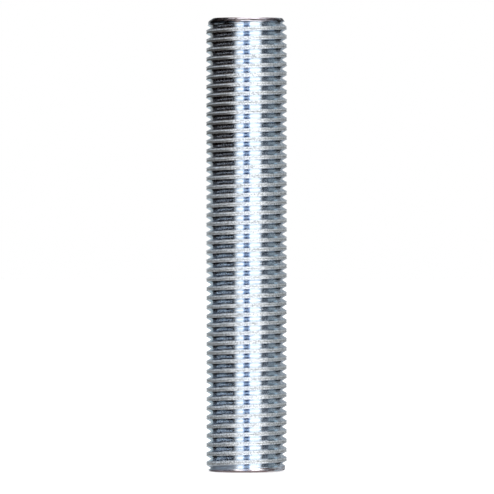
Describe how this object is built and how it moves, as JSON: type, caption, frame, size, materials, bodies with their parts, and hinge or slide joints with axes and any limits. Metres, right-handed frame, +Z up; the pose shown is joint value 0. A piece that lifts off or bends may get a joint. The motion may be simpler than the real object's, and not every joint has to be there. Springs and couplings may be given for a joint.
{
  "type": "threaded pipe nipple",
  "caption": "Short straight steel tube with a running pipe thread from end to end and an open bore, for joining two internally threaded fittings.",
  "frame": {"origin": "centre of the lower end face, on the tube's axis, so the tube stands on z = 0", "axes": "+Z up along the tube's axis towards the upper end; +X is the side where the middle of the lowest crest is 0.564 mm above the lower face; the thread is right-handed"},
  "size_m": [0.0124, 0.0124, 0.0698],
  "materials": {
    "zinc_plate": "bright zinc plating with a faint blue cast, glossy in the grooves and finely frosted on the crests"
  },
  "bodies": {
    "root": {"threaded_tube": "zinc_plate"}
  },
  "joints": []
}
